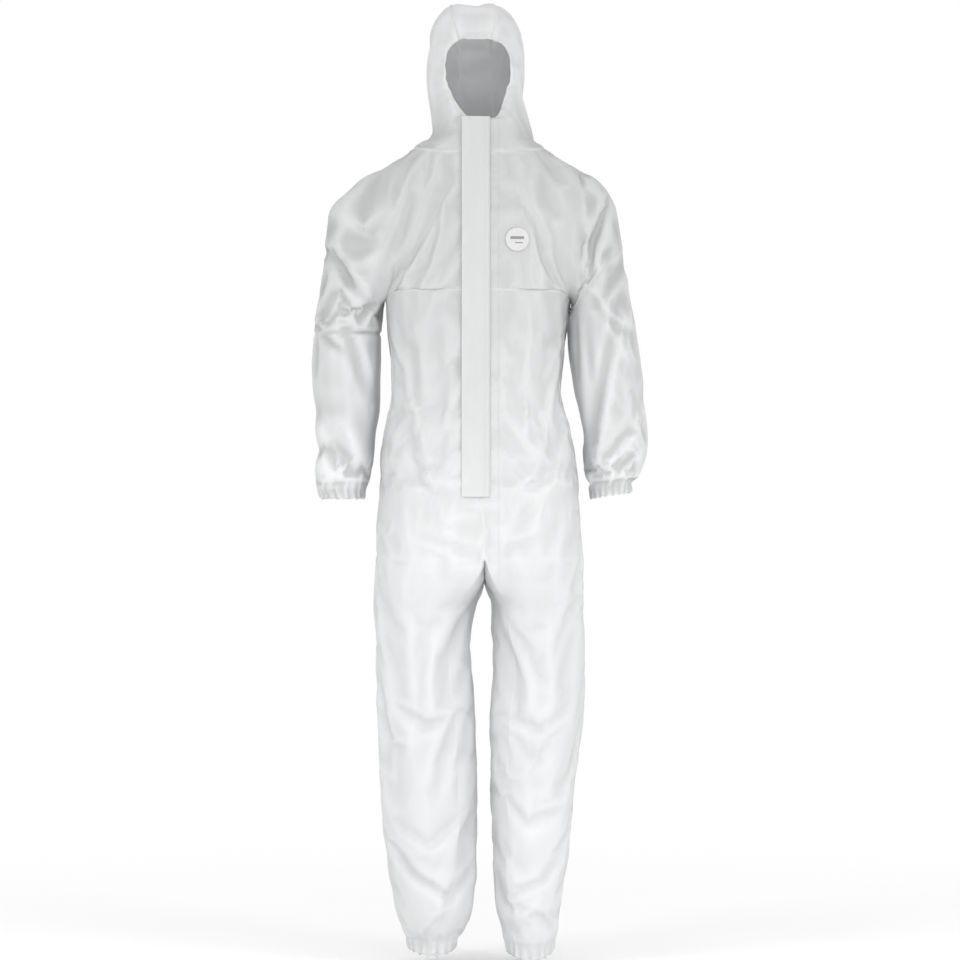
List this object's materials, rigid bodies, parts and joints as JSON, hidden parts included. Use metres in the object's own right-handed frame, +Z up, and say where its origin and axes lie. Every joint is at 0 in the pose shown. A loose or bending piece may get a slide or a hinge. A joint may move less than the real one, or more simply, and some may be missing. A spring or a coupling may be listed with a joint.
{
  "type": "protective coverall",
  "caption": "White hooded one-piece protective coverall with zip and storm flap, elastic hood, cuffs, waist and ankles, standing as worn with jointed hood, sleeves, legs, flap and zip.",
  "frame": {"origin": "on the floor under the ankle hems, midway between the legs and in line with the shoulders", "axes": "+Z up through the hood, front of the suit faces -Y, the wearer's left is +X"},
  "size_m": [0.6232, 0.2942, 1.7805],
  "materials": {
    "nonwoven": "matte",
    "elastic": "matte",
    "zip_tape": "matte",
    "zip_coil": "satin",
    "slider": "satin",
    "adhesive": "satin",
    "liner": "satin",
    "label": "satin"
  },
  "bodies": {
    "torso": {"yoke_front_right": "nonwoven", "yoke_front_left": "nonwoven", "yoke_back": "nonwoven", "body_front_right": "nonwoven", "body_front_left": "nonwoven", "body_back_right": "nonwoven", "body_back_left": "nonwoven", "throat_right": "nonwoven", "throat_left": "nonwoven", "waist_elastic": "elastic", "zip_tape_right": "zip_tape", "zip_tape_left": "zip_tape", "zip_coil_right": "zip_coil", "zip_coil_left": "zip_coil", "zip_top_stop_right": "zip_coil", "zip_top_stop_left": "zip_coil", "zip_bottom_stop": "zip_coil", "chest_label": "label", "size_label": "label"},
    "hood": {"hood_center_panel": "nonwoven", "hood_side_right": "nonwoven", "hood_side_left": "nonwoven", "face_elastic": "elastic"},
    "flap": {"storm_flap": "nonwoven", "flap_adhesive": "adhesive", "release_liner": "liner"},
    "slider": {"zip_slider": "slider"},
    "pull": {"zip_pull": "slider"},
    "upper_arm_right": {"sleeve_cap_front_right": "nonwoven", "sleeve_cap_back_right": "nonwoven", "sleeve_mid_right": "nonwoven"},
    "forearm_right": {"sleeve_lower_right": "nonwoven", "cuff_elastic_right": "elastic"},
    "thigh_right": {"thigh_front_right": "nonwoven", "thigh_back_right": "nonwoven"},
    "shin_right": {"shin_front_right": "nonwoven", "shin_back_right": "nonwoven", "ankle_elastic_right": "elastic"},
    "upper_arm_left": {"sleeve_cap_front_left": "nonwoven", "sleeve_cap_back_left": "nonwoven", "sleeve_mid_left": "nonwoven"},
    "forearm_left": {"sleeve_lower_left": "nonwoven", "cuff_elastic_left": "elastic"},
    "thigh_left": {"thigh_front_left": "nonwoven", "thigh_back_left": "nonwoven"},
    "shin_left": {"shin_front_left": "nonwoven", "shin_back_left": "nonwoven", "ankle_elastic_left": "elastic"}
  },
  "joints": [
    {"name": "hood_fold", "type": "hinge", "parent": "torso", "child": "hood", "pos_m": [0, 0.03, 1.515], "axis": [-1, 0, 0], "range_deg": [0, 95], "deforming": ["hood_center_panel", "hood_side_right", "hood_side_left"]},
    {"name": "flap_open", "type": "hinge", "parent": "torso", "child": "flap", "pos_m": [0.018, -0.12154, 1.21109], "axis": [0, 0.057, 0.9984], "range_deg": [0, 160]},
    {"name": "zip_slide", "type": "slide", "parent": "torso", "child": "slider", "axis": [0, -0.057, -0.9984], "range_m": [0, 0.66]},
    {"name": "pull_flip", "type": "hinge", "parent": "slider", "child": "pull", "pos_m": [0, -0.10304, 1.54713], "axis": [-1, 0, 0], "range_deg": [0, 150], "deforming": ["storm_flap"]},
    {"name": "shoulder_right", "type": "hinge", "parent": "torso", "child": "upper_arm_right", "pos_m": [-0.195, 0, 1.375], "axis": [0, 1, 0], "range_deg": [0, 70], "deforming": ["sleeve_cap_front_right", "sleeve_cap_back_right"]},
    {"name": "elbow_right", "type": "hinge", "parent": "upper_arm_right", "child": "forearm_right", "pos_m": [-0.249, 0, 1.105], "axis": [-1, 0, 0], "range_deg": [0, 90], "deforming": ["sleeve_lower_right"]},
    {"name": "hip_right", "type": "hinge", "parent": "torso", "child": "thigh_right", "pos_m": [-0.097, 0, 0.78], "axis": [-1, 0, 0], "range_deg": [0, 75], "deforming": ["thigh_front_right", "thigh_back_right"]},
    {"name": "knee_right", "type": "hinge", "parent": "thigh_right", "child": "shin_right", "pos_m": [-0.103, 0, 0.44], "axis": [1, 0, 0], "range_deg": [0, 90], "deforming": ["shin_front_right", "shin_back_right"]},
    {"name": "shoulder_left", "type": "hinge", "parent": "torso", "child": "upper_arm_left", "pos_m": [0.195, 0, 1.375], "axis": [0, -1, 0], "range_deg": [0, 70], "deforming": ["sleeve_cap_front_left", "sleeve_cap_back_left"]},
    {"name": "elbow_left", "type": "hinge", "parent": "upper_arm_left", "child": "forearm_left", "pos_m": [0.249, 0, 1.105], "axis": [-1, 0, 0], "range_deg": [0, 90], "deforming": ["sleeve_lower_left"]},
    {"name": "hip_left", "type": "hinge", "parent": "torso", "child": "thigh_left", "pos_m": [0.097, 0, 0.78], "axis": [-1, 0, 0], "range_deg": [0, 75], "deforming": ["thigh_front_left", "thigh_back_left"]},
    {"name": "knee_left", "type": "hinge", "parent": "thigh_left", "child": "shin_left", "pos_m": [0.103, 0, 0.44], "axis": [1, 0, 0], "range_deg": [0, 90], "deforming": ["shin_front_left", "shin_back_left"]}
  ]
}
